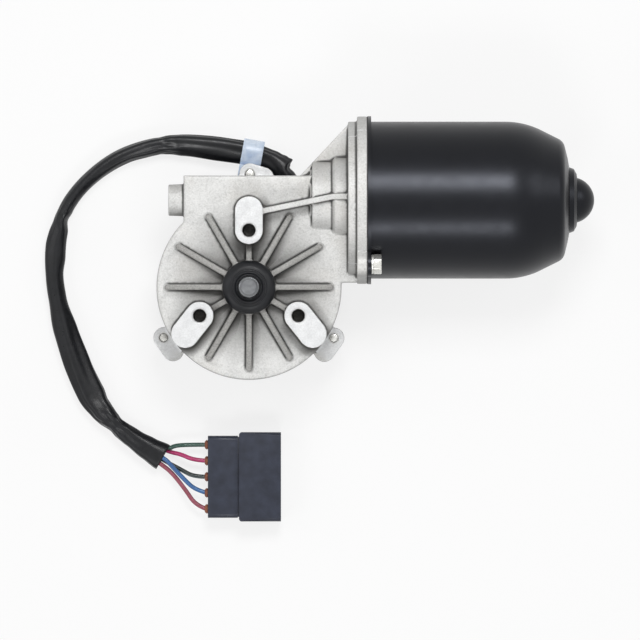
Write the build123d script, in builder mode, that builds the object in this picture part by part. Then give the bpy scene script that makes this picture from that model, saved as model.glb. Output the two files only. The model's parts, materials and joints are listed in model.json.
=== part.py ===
from build123d import *
import os
from math import acos, atan2, cos, degrees, pi, radians, sin, tan

# Wiper motor with its worm gearbox, wiring sleeve and connector. Millimetres.
# The origin is on the output shaft axis in the plane of the three mounting faces.
# +Z runs out along the output shaft, +X along the motor away from the gearbox.

# Mounting faces
mount_circle = 60.0  # diameter of the circle of mounting holes
mount_hole = 6.7  # core hole of an M8 thread
mount_hole_depth = 13.0
boss_width = 14.8
boss_angles = (90, 210, 330)
boss_far_ends = ((0, 40.5), (-33.6, -24.6), (33.6, -24.6))

# Gear housing
wheel_room = 4.3  # between the wheel's teeth and the chamber's wall
housing_wall = 4.5
plate_front = -11.0  # front face of the housing plate, behind the mounting faces
plate_thickness = 6.0
joint_depth = -48.0  # plane where the rear cover joins
box_left = -34.5
box_right = 33.2
box_margin = 12.9  # from the worm axis to the top of the box
pocket_floor = -38.2  # inner ceiling of the wiring space above the tunnel
front_edge_round = 1.3
dish_margin = 0.7  # what the dish and the ribs reach past the chamber
dish_depth = 3.0
hub_radius = 14.1
hub_top = -7.0
neck_radius = 11.0
neck_top = -2.6
rib_width = 3.0
rib_margin = 0.2
rib_count = 12
rib_hub_top = -7.2
rib_rim_top = -10.0
plate_arm_bottom = 2.4  # lower edge of the plate beside the motor flange
arm_rib_top = -0.8
lug_radius = 5.5
lug_front = -42.0
lug_screw_hole = 4.5
side_lugs = ((3.7, 210.4, 219.8), (3.4, 329.1, 319.5))  # reach past the chamber, near and far angle
top_lug = ((0.3, 1.3), (7.5, -0.9))  # x, and height over the top of the box, near and far

# Worm gear
gear_module = 1.25
wheel_teeth = 62
worm_pitch_radius = 7.25
worm_turns = 8.5
pressure_angle = 20.0
flank_gap = 0.15
tip_gap = 0.31
wheel_width = 12.0
wheel_rim = 3.6
ring_margin = 2.6  # from the wheel's rim in to the park contact ring
wheel_web = 4.0
wheel_hub_radius = 13.0
wheel_ribs = 12
axis_depth = -24.6  # height of the worm axis

# Motor
tunnel_radius = 10.0
shaft_radius = 6.0
journal_radius = 4.0
running_gap = 0.03
boss_end_radius = 8.5
boss_end_length = 8.1
flange_face = 62.2
first_collar_radius = 20.3
first_collar_step = 18.15  # from the collar's end to the flange face
second_collar_radius = 22.6
second_collar_step = 10.0
disc_thickness = 5.3
bearing_depth = 15.2  # how far the bearing's seat starts behind the flange face
gasket_thickness = 0.5
can_radius = 41.45
can_wall = 2.5
flange_margin = 2.75  # what the flange stands out past the can
rim_margin = 2.95
rim_thickness = 1.7
taper_round = 42.0
taper_run = 20.7
taper_drop = 10.35
taper_to_dome = 34.7  # from the can's straight end to the centre of the dome
end_round = 6.0
dome_radius = 12.2
dome_step = 5.2  # what the step round the dome stands out past it
ear_angle = 136.3  # of the screw ears round the motor axis, from +Y
ear_reach = 5.44  # from the can's side to an ear's screw
ear_radius = 6.5
ear_screw = 6.0
bearing_width = 10.0
bearing_radius = 16.0
ball_radius = 2.97
ball_count = 7
core_length = 46.0
magnet_thickness = 7.75
slot_count = 12
air_gap = 0.8
brush_space = 5.8  # between flange face and commutator
commutator_length = 16.0
commutator_radius = 13.0
lead_space = 6.0  # between commutator and core
brush_size = (9.0, 6.5)  # along the shaft and across
brush_angles = (0, 120, 180)
brush_length = 12.0

# Output shaft
shaft_collar_top = 3.0
cone_top = 11.0
cone_end_radius = 5.3
thread_radius = 5.0
shaft_top = 24.0
thread_chamfer = 1.0
bush_wall = 2.0
boot_radius = 14.1
boot_top = 1.8
boot_skirt = 3.2
boot_collar = 8.6

# Rear cover
cover_inset = 3.5
cover_flange = 3.0
cover_wall = 2.0
cover_edge = 3.0

# Wiring
sleeve_diameter = 10.5
sleeve_wall = 0.9
sleeve_bore_depth = 12.0
clip_width = 10.5
clip_thick = 1.2
wire_diameter = 2.3
wire_pitch = 8.5
connector_back = -22.0
connector_middle = -100.4
rear_body = (16.5, 43.5, 14.0)  # length, width, height
hood = (22.2, 47.3, 15.5)
hood_wall = 1.8
hood_depth = 17.0
hood_corner = 1.5
blade = (22.0, 6.3, 0.8)
seal_diameter = 6.4
seal_length = 9.0

# Sizes worked out from the ones above
wheel_pitch_radius = gear_module * wheel_teeth / 2
wheel_tip = wheel_pitch_radius + gear_module
axis_offset = wheel_pitch_radius + worm_pitch_radius
box_top = axis_offset + box_margin
chamber_radius = wheel_tip + wheel_room
dish_outer = chamber_radius + dish_margin
rib_end = chamber_radius + rib_margin
rim_radius = can_radius + rim_margin
flange_radius = can_radius + flange_margin
floor = axis_depth - rim_radius
plate_back = plate_front - plate_thickness
chamber_outer = chamber_radius + housing_wall
lead = pi * gear_module
worm_tip = worm_pitch_radius + gear_module
worm_root = axis_offset - wheel_tip - tip_gap
wheel_root = axis_offset - worm_tip - tip_gap
can_inner = can_radius - can_wall
core_radius = can_inner - magnet_thickness - air_gap
first_collar = (flange_face - first_collar_step, first_collar_radius)  # far end and radius
second_collar = (flange_face - second_collar_step, second_collar_radius)
first_disc = (flange_face - disc_thickness, can_radius)
bearing_start = flange_face - bearing_depth
can_front = flange_face + gasket_thickness
rim_front = can_front + rim_thickness
commutator_start = flange_face + brush_space
commutator_end = commutator_start + commutator_length
core_start = commutator_end + lead_space
core_end = core_start + core_length
magnet_overhang = 3.0  # what the magnets reach past the core on the brush side
can_straight_end = core_end - 0.7
dome_centre = can_straight_end + taper_to_dome
shaft_back_end = dome_centre + dome_radius / 2
ear_distance = can_radius + ear_reach
ear_offset = (ear_distance * cos(radians(ear_angle)), ear_distance * sin(radians(ear_angle)))
motor_axis = Axis((0, axis_offset, axis_depth), (1, 0, 0))
motor_section = Plane(origin=(0, axis_offset, axis_depth), x_dir=(1, 0, 0), z_dir=(0, 0, 1))
shaft_section = Plane.XZ


def across(x):
    """The plane across the motor axis at x, with Y to the right and Z up."""
    return Plane(origin=(x, axis_offset, axis_depth), x_dir=(0, 1, 0), z_dir=(1, 0, 0))


def level(z):
    """The plane across the output shaft at height z."""
    return Plane.XY.offset(z)


def capsule(a, b, radius):
    """A slot with a round end about each of two points."""
    SlotCenterPoint(center=((a[0] + b[0]) / 2, (a[1] + b[1]) / 2), point=b, height=2 * radius)


def turned(*points):
    """A straight-sided outline in the current sketch."""
    Polygon(*points, align=None)


def joint_outline(inset=0.0):
    """The outline that housing, gasket and cover share at the joint, without the lugs."""
    Circle(chamber_outer - inset)
    left, right, top = box_left + inset, box_right - inset, box_top - inset
    with Locations(((left + right) / 2, top / 2)):
        Rectangle(right - left, top)


def joint_lugs():
    """The three screw lugs round the joint."""
    for near, far in lugs:
        capsule(near, far, lug_radius)


def motor_ears(radius):
    """A flange disc across the motor axis with its two screw ears."""
    Circle(radius)
    for side in (1, -1):
        centre = (side * ear_offset[0], side * ear_offset[1])
        capsule((0.75 * centre[0], 0.75 * centre[1]), centre, ear_radius)


lugs = []
for reach, near_angle, far_angle in side_lugs:
    arm = Vector(chamber_outer + reach, 0)
    near = arm.rotate(Axis.Z, near_angle)
    far = arm.rotate(Axis.Z, far_angle)
    lugs.append(((near.X, near.Y), (far.X, far.Y)))
lugs.append(tuple((x, box_top + rise) for x, rise in top_lug))
ear_places = [ear_offset, (-ear_offset[0], -ear_offset[1])]
screw_places = [near for near, far in lugs]

# Front ribs of the housing, highest at the hub and falling towards the rim
rib_foot = plate_front - dish_depth - 1
with BuildPart() as rib_star:
    with BuildSketch(level(rib_foot)):
        for index in range(rib_count):
            angle = 360 / rib_count * index
            end = mount_circle / 2 - boss_width / 2 + 1 if angle in boss_angles else rib_end - rib_width / 2
            direction = Vector(1, 0).rotate(Axis.Z, angle)
            capsule((0, 0), (direction.X * end, direction.Y * end), rib_width / 2)
    extrude(amount=rib_hub_top - rib_foot)
    with BuildSketch(shaft_section):
        turned(
            (0, rib_foot),
            (0, rib_hub_top),
            (hub_radius, rib_hub_top),
            (rib_end + rib_width, rib_rim_top),
            (rib_end + rib_width, rib_foot),
        )
    revolve(axis=Axis.Z, mode=Mode.INTERSECT)

# Die-cast gear housing with its plate, chamber, worm tunnel and motor flange
with BuildPart() as gear_housing:
    with BuildSketch(level(joint_depth)):
        joint_outline()
    extrude(amount=plate_front - joint_depth)
    arm_length = first_disc[0] - box_right + 1
    with BuildSketch(level(plate_back)):
        with Locations((box_right - 1, plate_arm_bottom)):
            Rectangle(arm_length, axis_offset - plate_arm_bottom, align=(Align.MIN, Align.MIN))
    extrude(amount=plate_thickness)
    fillet(edges().filter_by(Plane.XY).group_by(Axis.Z)[-1], front_edge_round)
    with BuildSketch(shaft_section):
        turned((0, plate_front + 1), (dish_outer, plate_front + 1), (dish_outer, plate_front),
               (hub_radius, plate_front - dish_depth), (0, plate_front - dish_depth))
    revolve(axis=Axis.Z, mode=Mode.SUBTRACT)
    with BuildSketch(level(joint_depth)):
        joint_lugs()
    extrude(amount=lug_front - joint_depth)
    # Hub and neck that carry the output shaft
    with BuildSketch(shaft_section):
        turned((0, plate_back), (hub_radius, plate_back), (hub_radius, hub_top), (neck_radius, hub_top),
               (neck_radius, neck_top), (0, neck_top))
    revolve(axis=Axis.Z)
    add(rib_star.part)
    for angle, far_end in zip(boss_angles, boss_far_ends):
        hole = Vector(mount_circle / 2, 0).rotate(Axis.Z, angle)
        with BuildSketch(level(plate_back + 1)):
            capsule((hole.X, hole.Y), far_end, boss_width / 2)
        extrude(amount=-plate_back - 1)
    # Motor collars and flange discs on the worm axis
    with BuildSketch(motor_section):
        turned(
            (box_right - 1, 0),
            (box_right - 1, first_collar[1] - 4),
            (box_right, first_collar[1] - 4),
            (box_right, first_collar[1]),
            first_collar,
            (first_collar[0], second_collar[1] - 1.3),
            (first_collar[0] + 1.3, second_collar[1]),
            second_collar,
            (second_collar[0], first_disc[1]),
            first_disc,
            (first_disc[0], flange_radius),
            (flange_face, flange_radius),
            (flange_face, 0),
        )
    revolve(axis=motor_axis)
    with BuildSketch(across(first_disc[0])):
        motor_ears(flange_radius)
    extrude(amount=flange_face - first_disc[0])
    # Closed boss round the worm end bush
    with BuildSketch(across(box_left)):
        Circle(boss_end_radius)
    extrude(amount=-boss_end_length, taper=2)
    # Gusset between tunnel and flange
    with BuildSketch(level(axis_depth - 2.5)):
        gusset_start = box_right - 6.3
        turned((gusset_start, box_top - 3), (gusset_start, box_top),
               (second_collar[0] + 1, axis_offset + can_radius - 0.5), (second_collar[0] + 1, box_top - 3))
    extrude(amount=5)
    # Bent rib from the top mounting boss to the flange
    with BuildSketch(level(plate_back + 1)):
        with BuildLine():
            spine = Polyline((6.0, mount_circle / 2 + 9.9), (first_collar[0], axis_offset + 1.7),
                             (second_collar[0] + 1, axis_offset + 1.8))
        trace(spine, rib_width)
    extrude(amount=arm_rib_top - plate_back - 1)
    # Gear chamber, wiring space, worm tunnel and bearing seat
    with BuildSketch(level(joint_depth)):
        Circle(chamber_radius)
    extrude(amount=plate_back - joint_depth, mode=Mode.SUBTRACT)
    with BuildSketch(level(joint_depth)):
        with Locations(((box_left + box_right) / 2, (box_top - housing_wall) / 2)):
            Rectangle(box_right - box_left - 2 * housing_wall, box_top - housing_wall)
    extrude(amount=pocket_floor - joint_depth, mode=Mode.SUBTRACT)
    with BuildSketch(motor_section):
        turned(
            (box_left + 3, 0),
            (box_left + 3, tunnel_radius),
            (bearing_start, tunnel_radius),
            (bearing_start, bearing_radius),
            (flange_face + 1, bearing_radius),
            (flange_face + 1, 0),
        )
    revolve(axis=motor_axis, mode=Mode.SUBTRACT)
    with BuildSketch(across(box_left - boss_end_length + 2)):
        Circle(journal_radius + bush_wall)
    extrude(amount=boss_end_length + 1, mode=Mode.SUBTRACT)
    # Output bore with its seal seat
    bush_radius = shaft_radius + bush_wall
    with BuildSketch(level(plate_back)):
        Circle(bush_radius)
    extrude(amount=neck_top - plate_back, mode=Mode.SUBTRACT)
    # Threaded holes for mounting, cover and motor screws
    with BuildSketch(level(0)):
        with PolarLocations(mount_circle / 2, len(boss_angles), start_angle=boss_angles[0]):
            Circle(mount_hole / 2)
    extrude(amount=-mount_hole_depth, mode=Mode.SUBTRACT)
    with BuildSketch(level(joint_depth)):
        with Locations(*screw_places):
            Circle(lug_screw_hole / 2)
    extrude(amount=lug_front - joint_depth, mode=Mode.SUBTRACT)
    with BuildSketch(across(first_disc[0])):
        with Locations(*ear_places):
            Circle(ear_screw / 2)
    extrude(amount=flange_face - first_disc[0], mode=Mode.SUBTRACT)

# Sheet steel can, drawn in steps to the rear bearing dome
taper_tangent = tan(atan2(taper_drop, taper_run) / 2)
taper_corner = can_straight_end + taper_round * taper_tangent
end_corner = (taper_corner + taper_run, can_radius - taper_drop)
inner_dome = dome_radius - can_wall
dome_foot = 75.0  # angle at which the dome leaves its step
end_wall = dome_centre - 1.9
end_wall_top = can_radius - 19.15
inner_step = dome_centre - 4.1
with BuildPart() as motor_can:
    with BuildSketch(motor_section):
        with BuildLine():
            Polyline((can_front, can_inner), (can_front, rim_radius), (rim_front, rim_radius),
                     (rim_front, can_radius))
            FilletPolyline((rim_front, can_radius), (taper_corner, can_radius), end_corner,
                           (end_wall, end_wall_top), radius=(taper_round, end_round))
            dome_arc = CenterArc((dome_centre, 0), dome_radius, 0, dome_foot)
            Polyline((end_wall, end_wall_top), (dome_centre - 1, dome_radius + dome_step),
                     (dome_centre + 1.4, dome_radius + dome_step - 0.9),
                     (dome_centre + 2.9, dome_radius + 1.6), dome_arc @ 1)
            Line((dome_centre + dome_radius, 0), (dome_centre + inner_dome, 0))
            CenterArc((dome_centre, 0), inner_dome, 0, 90)
            Polyline((dome_centre, inner_dome), (dome_centre - 1, inner_dome + dome_step),
                     (inner_step, inner_dome + dome_step), (inner_step, end_wall_top))
            inner_end_corner = (end_corner[0] - 0.82 * can_wall, end_corner[1] - 0.77 * can_wall)
            FilletPolyline((inner_step, end_wall_top), inner_end_corner,
                           (taper_corner - can_wall * taper_tangent, can_inner), (can_front, can_inner),
                           radius=(end_round - can_wall, taper_round - can_wall))
        make_face()
    revolve(axis=motor_axis)
    with BuildSketch(across(can_front)):
        motor_ears(rim_radius)
        Circle(can_inner, mode=Mode.SUBTRACT)
    extrude(amount=rim_front - can_front)
    with BuildSketch(across(can_front)):
        with Locations(*ear_places):
            Circle(ear_screw / 2)
    extrude(amount=rim_front - can_front, mode=Mode.SUBTRACT)

with BuildPart() as can_gasket:
    with BuildSketch(across(flange_face)):
        motor_ears(flange_radius)
        Circle(can_inner, mode=Mode.SUBTRACT)
        with Locations(*ear_places):
            Circle(ear_screw / 2, mode=Mode.SUBTRACT)
    extrude(amount=gasket_thickness)

washer_thickness = 1.2
washer_radius = 5.0
screw_head_flats = 9.2
screw_head_height = 4.2
screw_socket = 2.2  # radius and depth
with BuildPart() as can_washers:
    with BuildSketch(across(rim_front)):
        with Locations(*ear_places):
            Circle(washer_radius)
            Circle(ear_screw / 2, mode=Mode.SUBTRACT)
    extrude(amount=washer_thickness)

with BuildPart() as can_screws:
    head_start = rim_front + washer_thickness
    with BuildSketch(across(first_disc[0] + 1)):
        with Locations(*ear_places):
            Circle(ear_screw / 2)
    extrude(amount=head_start - first_disc[0] - 1)
    with BuildSketch(across(head_start)):
        with Locations(*ear_places):
            RegularPolygon(screw_head_flats / 2, 6, major_radius=False)
    extrude(amount=screw_head_height)
    with BuildSketch(across(head_start + screw_head_height)):
        with Locations(*ear_places):
            RegularPolygon(screw_socket, 6)
    extrude(amount=-screw_socket, mode=Mode.SUBTRACT)

# Armature: shaft and worm in one, laminated core, windings and commutator
shaft_end = box_left - boss_end_length + 6.5
with BuildPart() as armature_shaft:
    worm_half = worm_turns * lead / 2
    neck = worm_root - 0.6
    with BuildSketch(motor_section):
        turned(
            (shaft_end, 0),
            (shaft_end, journal_radius),
            (box_left + 4, journal_radius),
            (box_left + 4, neck),
            (-worm_half - 3, neck),
            (-worm_half - 2, worm_root),
            (worm_half + 2, worm_root),
            (worm_half + 3, shaft_radius),
            (core_end + 12, shaft_radius),
            (core_end + 12, journal_radius),
            (shaft_back_end, journal_radius),
            (shaft_back_end, 0),
        )
    revolve(axis=motor_axis)
    with BuildLine():
        thread_path = Helix(lead, 2 * worm_half, worm_pitch_radius,
                            center=(-worm_half, axis_offset, axis_depth), direction=(1, 0, 0))
    start = thread_path @ 0
    with BuildSketch(Plane(origin=(start.X, axis_offset, axis_depth), x_dir=(1, 0, 0), z_dir=(0, -1, 0))):
        slope = tan(radians(pressure_angle))
        half_thread = lead / 4 - flank_gap / 2
        sunk = worm_root - 0.3
        half_foot = half_thread + (worm_pitch_radius - sunk) * slope
        half_crest = half_thread - gear_module * slope
        turned((-half_foot, sunk), (-half_crest, worm_tip), (half_crest, worm_tip), (half_foot, sunk))
    sweep(path=thread_path, is_frenet=True)

slot_middle = core_radius - 8
slot_size = (11.0, 6.5)
slot_mouth = 2.4
with BuildPart() as armature_core:
    with BuildSketch(across(core_start)):
        Circle(core_radius)
        Circle(shaft_radius, mode=Mode.SUBTRACT)
        with PolarLocations(0, slot_count):
            with Locations((slot_middle, 0)):
                Rectangle(*slot_size, mode=Mode.SUBTRACT)
            with Locations((slot_middle, 0)):
                Rectangle(core_radius, slot_mouth, align=(Align.MIN, Align.CENTER), mode=Mode.SUBTRACT)
    extrude(amount=core_length)

with BuildPart() as armature_windings:
    with BuildSketch(across(core_start)):
        with PolarLocations(0, slot_count):
            with Locations((slot_middle, 0)):
                Rectangle(*slot_size)
    extrude(amount=core_length)
    coil_radius = core_radius - 3.4
    with BuildSketch(motor_section):
        turned((core_start, shaft_radius + 4), (core_start - 5, shaft_radius + 6),
               (core_start - 5, coil_radius - 6), (core_start - 2, coil_radius - 1),
               (core_start, coil_radius))
        turned((core_end, shaft_radius + 4), (core_end + 7, shaft_radius + 6),
               (core_end + 8, coil_radius - 7), (core_end + 3, coil_radius - 1), (core_end, coil_radius))
    revolve(axis=motor_axis)

segment_depth = 3.5
segment_cut = (2.4, 0.7)
with BuildPart() as commutator:
    with BuildSketch(across(commutator_start)):
        Circle(commutator_radius)
        Circle(commutator_radius - segment_depth, mode=Mode.SUBTRACT)
    extrude(amount=commutator_length)
    with BuildSketch(across(commutator_start)):
        with PolarLocations(commutator_radius, slot_count):
            Rectangle(*segment_cut)
    extrude(amount=commutator_length - 2, mode=Mode.SUBTRACT)

with BuildPart() as commutator_hub:
    with BuildSketch(across(commutator_start - 1)):
        Circle(commutator_radius - segment_depth)
        Circle(shaft_radius, mode=Mode.SUBTRACT)
    extrude(amount=commutator_length + 2)

# Ball bearing between tunnel and motor
ball_circle = (bearing_radius + shaft_radius) / 2
bearing_middle = bearing_start + bearing_width / 2
groove = ball_radius + running_gap
with BuildPart() as bearing_outer_race:
    with BuildSketch(motor_section):
        with Locations((bearing_middle, (ball_circle + 2 + bearing_radius) / 2)):
            Rectangle(bearing_width, bearing_radius - ball_circle - 2)
        with Locations((bearing_middle, ball_circle)):
            Circle(groove, mode=Mode.SUBTRACT)
    revolve(axis=motor_axis)

with BuildPart() as bearing_inner_race:
    with BuildSketch(motor_section):
        with Locations((bearing_middle, (ball_circle - 2 + shaft_radius) / 2)):
            Rectangle(bearing_width, ball_circle - 2 - shaft_radius)
        with Locations((bearing_middle, ball_circle)):
            Circle(groove, mode=Mode.SUBTRACT)
    revolve(axis=motor_axis)

with BuildPart() as bearing_balls:
    with Locations(across(bearing_middle)):
        with PolarLocations(ball_circle, ball_count):
            Sphere(ball_radius)

with BuildPart() as bearing_cage:
    with BuildSketch(across(bearing_middle - ball_radius - 1)):
        Circle(ball_circle + 1.2)
        Circle(ball_circle - 1.2, mode=Mode.SUBTRACT)
    extrude(amount=2 * ball_radius + 2)
    for index in range(ball_count):
        outwards = Vector(0, 1, 0).rotate(Axis.X, 360 / ball_count * index)
        pocket = Plane(origin=(bearing_middle, axis_offset, axis_depth), x_dir=(1, 0, 0), z_dir=outwards)
        with BuildSketch(pocket):
            Circle(ball_radius + running_gap)
        extrude(amount=bearing_radius, mode=Mode.SUBTRACT)

with BuildPart() as bearing_retainer:
    with BuildSketch(across(bearing_start + bearing_width)):
        Circle(bearing_radius)
        Circle(bearing_radius - 2.5, mode=Mode.SUBTRACT)
    extrude(amount=1.4)

# Worm end: bush, thrust ball and thrust pad
end_bore = box_left - boss_end_length + 2
ball_gap = 0.05
pad_thickness = 1.0
with BuildPart() as worm_end_bush:
    with BuildSketch(across(shaft_end - 0.5)):
        Circle(journal_radius + bush_wall)
        Circle(journal_radius + running_gap, mode=Mode.SUBTRACT)
    extrude(amount=box_left + 3 - shaft_end + 0.5)

with BuildPart() as thrust_pad:
    with BuildSketch(across(end_bore)):
        Circle(journal_radius + bush_wall)
    extrude(amount=pad_thickness)

with BuildPart() as thrust_ball:
    thrust_radius = (shaft_end - end_bore - pad_thickness - ball_gap) / 2
    with Locations((shaft_end - thrust_radius, axis_offset, axis_depth)):
        Sphere(thrust_radius)

# Rear bearing in the dome
with BuildPart() as rear_bush:
    with BuildSketch(motor_section):
        with Locations((dome_centre, 0)):
            Circle(inner_dome)
        with Locations((dome_centre, journal_radius + running_gap)):
            Rectangle(9, 20, align=(Align.CENTER, Align.MIN), mode=Mode.INTERSECT)
    revolve(axis=motor_axis)

with BuildPart() as bush_retainer:
    with BuildSketch(motor_section):
        turned((inner_step - 2.3, 9.0), (inner_step - 1.3, 9.0), (inner_step, inner_dome + dome_step),
               (inner_step, 20.0), (inner_step - 1, 20.0), (inner_step - 2.3, 12.0))
    revolve(axis=motor_axis)

# Field magnets and the clips that spread them
magnet_split = can_inner - 2.95  # opening between the two shells
with BuildPart() as field_magnets:
    with BuildSketch(across(core_start - magnet_overhang)):
        Circle(can_inner)
        Circle(can_inner - magnet_thickness, mode=Mode.SUBTRACT)
        Rectangle(2 * can_radius, magnet_split, mode=Mode.SUBTRACT)
    extrude(amount=can_straight_end - core_start + magnet_overhang)

with BuildPart() as magnet_clips:
    with BuildSketch(across(core_start - 2)):
        Circle(can_inner)
        Circle(can_inner - 1.5, mode=Mode.SUBTRACT)
        Rectangle(2 * can_radius, magnet_split, mode=Mode.INTERSECT)
    extrude(amount=core_length)

# Brush gear
plate_thick = 2.5
with BuildPart() as brush_plate:
    with BuildSketch(across(flange_face)):
        Circle(can_inner - 0.5)
        Circle(bearing_radius - 1.5, mode=Mode.SUBTRACT)
    extrude(amount=plate_thick)

brush_middle = (commutator_start + commutator_end) / 2 - 1
brush_bottom = commutator_radius + 0.05
holder_start = flange_face + plate_thick
holder_wall = 0.6


def brush_view(angle):
    """The plane across a brush, drawn along the shaft and sideways, at the middle of the commutator."""
    out = Vector(0, cos(radians(angle)), sin(radians(angle)))
    return Plane(origin=Vector(brush_middle, axis_offset, axis_depth), x_dir=(1, 0, 0), z_dir=out)


with BuildPart() as brushes:
    for angle in brush_angles:
        with BuildSketch(brush_view(angle).offset(commutator_radius - 2)):
            Rectangle(*brush_size)
        extrude(amount=brush_length + 2)
    with BuildSketch(across(commutator_start)):
        Circle(brush_bottom)
    extrude(amount=commutator_length, mode=Mode.SUBTRACT)

with BuildPart() as brush_holders:
    for angle in brush_angles:
        with BuildSketch(brush_view(angle).offset(commutator_radius + 2.5)):
            along = brush_middle - holder_start - brush_size[0] / 2
            with Locations(((holder_wall - along) / 2, 0)):
                Rectangle(brush_size[0] + holder_wall + along, brush_size[1] + 2 * holder_wall)
            Rectangle(*brush_size, mode=Mode.SUBTRACT)
        extrude(amount=brush_length + 2)

with BuildPart() as brush_springs:
    for angle in brush_angles:
        with BuildSketch(brush_view(angle).offset(commutator_radius + brush_length)):
            Rectangle(brush_size[0], brush_size[1] - 2)
        extrude(amount=0.6)
        with BuildSketch(brush_view(angle).offset(commutator_radius + brush_length)):
            with Locations((0, 0)):
                Rectangle(2.0, 2.0)
        extrude(amount=5.5)
        with BuildSketch(brush_view(angle).offset(commutator_radius + brush_length + 4.9)):
            with Locations(((holder_wall - along) / 2, 0)):
                Rectangle(brush_size[0] + holder_wall + along, brush_size[1] + 2 * holder_wall)
        extrude(amount=0.6)

# Output shaft, worm wheel and what holds them
washer_gap = 0.1
hub_face = plate_back - 0.9
wheel_front = axis_depth + wheel_width / 2
wheel_back = axis_depth - wheel_width / 2
ring_thickness = 0.6
hub_back = wheel_back - ring_thickness - 1.0
shaft_bottom = hub_back - 2.0
clip_thickness = 1.0

with BuildPart() as output_shaft:
    with BuildSketch(shaft_section):
        turned(
            (0, shaft_bottom),
            (shaft_radius, shaft_bottom),
            (shaft_radius, shaft_collar_top),
            (cone_end_radius, cone_top),
            (thread_radius, cone_top),
            (thread_radius, shaft_top - thread_chamfer),
            (thread_radius - thread_chamfer, shaft_top),
            (0, shaft_top),
        )
    revolve(axis=Axis.Z)

with BuildPart() as output_bush:
    with BuildSketch(level(plate_back)):
        Circle(bush_radius)
        Circle(shaft_radius + running_gap, mode=Mode.SUBTRACT)
    extrude(amount=neck_top - 2.4 - plate_back)

with BuildPart() as shaft_seal:
    with BuildSketch(level(neck_top - 2.4)):
        Circle(bush_radius)
        Circle(shaft_radius + running_gap, mode=Mode.SUBTRACT)
    extrude(amount=2.4)

with BuildPart() as thrust_washer:
    with BuildSketch(level(hub_face + washer_gap)):
        Circle(wheel_hub_radius)
        Circle(shaft_radius + 2 * washer_gap, mode=Mode.SUBTRACT)
    extrude(amount=plate_back - hub_face - washer_gap)

with BuildPart() as shaft_washer:
    with BuildSketch(level(neck_top + washer_gap)):
        Circle(8.6)
        Circle(shaft_radius, mode=Mode.SUBTRACT)
    extrude(amount=0.7)

with BuildPart() as shaft_circlips:
    for bottom in (neck_top + washer_gap + 0.7, hub_back - clip_thickness):
        with BuildSketch(level(bottom)):
            Circle(8.2)
            Circle(shaft_radius, mode=Mode.SUBTRACT)
            with Locations((0, -8)):
                Rectangle(4, 8, mode=Mode.SUBTRACT)
        extrude(amount=clip_thickness)

with BuildPart() as wheel_hub:
    with BuildSketch(level(hub_back)):
        Circle(wheel_hub_radius - 4)
        Circle(shaft_radius, mode=Mode.SUBTRACT)
    extrude(amount=hub_face - hub_back)


def wheel_outline(twist):
    """Involute tooth flanks all round the wheel, turned by twist degrees, with a tooth gap at +Y."""
    base_radius = wheel_pitch_radius * cos(radians(pressure_angle))

    def involute(radius):
        roll = acos(base_radius / radius)
        return tan(roll) - roll

    half_tooth = (lead / 2 - flank_gap) / 2 / wheel_pitch_radius
    radii = (wheel_root, wheel_pitch_radius, wheel_tip)
    widths = [half_tooth + involute(wheel_pitch_radius) - involute(radius) for radius in radii]
    flank = [(radius, -width) for radius, width in zip(radii, widths)]
    flank += [(radius, -angle) for radius, angle in reversed(flank)]
    outline = []
    for tooth in range(wheel_teeth):
        middle = radians(90 + twist) + (tooth + 0.5) * 2 * pi / wheel_teeth
        outline += [(radius * cos(middle + angle), radius * sin(middle + angle)) for radius, angle in flank]
    return outline


# Moulded worm wheel: helical teeth on a rim, a web and stiffening ribs
with BuildPart() as worm_wheel:
    half_twist = degrees(wheel_width / 2 * lead / (2 * pi * worm_pitch_radius) / wheel_pitch_radius)
    with BuildSketch(level(wheel_back)):
        turned(*wheel_outline(-half_twist))
    with BuildSketch(level(wheel_front)):
        turned(*wheel_outline(half_twist))
    loft(ruled=True)
    rim_inner = wheel_root - wheel_rim
    with BuildSketch(level(wheel_front)):
        Circle(rim_inner)
        Circle(wheel_hub_radius, mode=Mode.SUBTRACT)
        with PolarLocations(0, wheel_ribs):
            with Locations((wheel_hub_radius - 1, 0)):
                Rectangle(rim_inner - wheel_hub_radius + 2, 1.8, align=(Align.MIN, Align.CENTER),
                          mode=Mode.SUBTRACT)
    extrude(amount=-(wheel_width - wheel_web), mode=Mode.SUBTRACT)
    with BuildSketch(level(wheel_front)):
        Circle(wheel_hub_radius)
    extrude(amount=hub_face - wheel_front)
    with BuildSketch(level(wheel_back - 1)):
        Circle(wheel_hub_radius - 4)
    extrude(amount=wheel_width + 10, mode=Mode.SUBTRACT)

ring_outer = rim_inner - ring_margin
finger_radii = (ring_outer - 13, ring_outer - 8, ring_outer - 3)
with BuildPart() as park_contact_ring:
    with BuildSketch(level(wheel_back)):
        Circle(ring_outer)
        Circle(wheel_hub_radius + 2, mode=Mode.SUBTRACT)
        with Locations((finger_radii[1] + 1, 0)):
            Rectangle(8, 14, mode=Mode.SUBTRACT)
    extrude(amount=-ring_thickness)

# Rubber boot over the neck
lip_radius = shaft_radius + 0.3
with BuildPart() as shaft_boot:
    with BuildSketch(shaft_section):
        with BuildLine():
            Polyline((neck_radius, hub_top), (boot_radius, hub_top), (boot_radius, hub_top + boot_skirt))
            shoulder = (boot_radius - boot_collar - 1, -hub_top - boot_skirt)
            ThreePointArc((boot_radius, hub_top + boot_skirt),
                          (boot_radius - 0.3 * shoulder[0], -0.3 * shoulder[1]), (boot_collar + 1, 0))
            Polyline((boot_collar + 1, 0), (boot_collar, 0), (boot_collar, boot_top - 0.5),
                     (boot_collar - 0.5, boot_top), (lip_radius, boot_top), (lip_radius, boot_top - 0.8),
                     (lip_radius + 0.9, boot_top - 0.8), (neck_radius - 2, neck_top + 2.2),
                     (neck_radius, neck_top), (neck_radius, hub_top))
        make_face()
    revolve(axis=Axis.Z)

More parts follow.
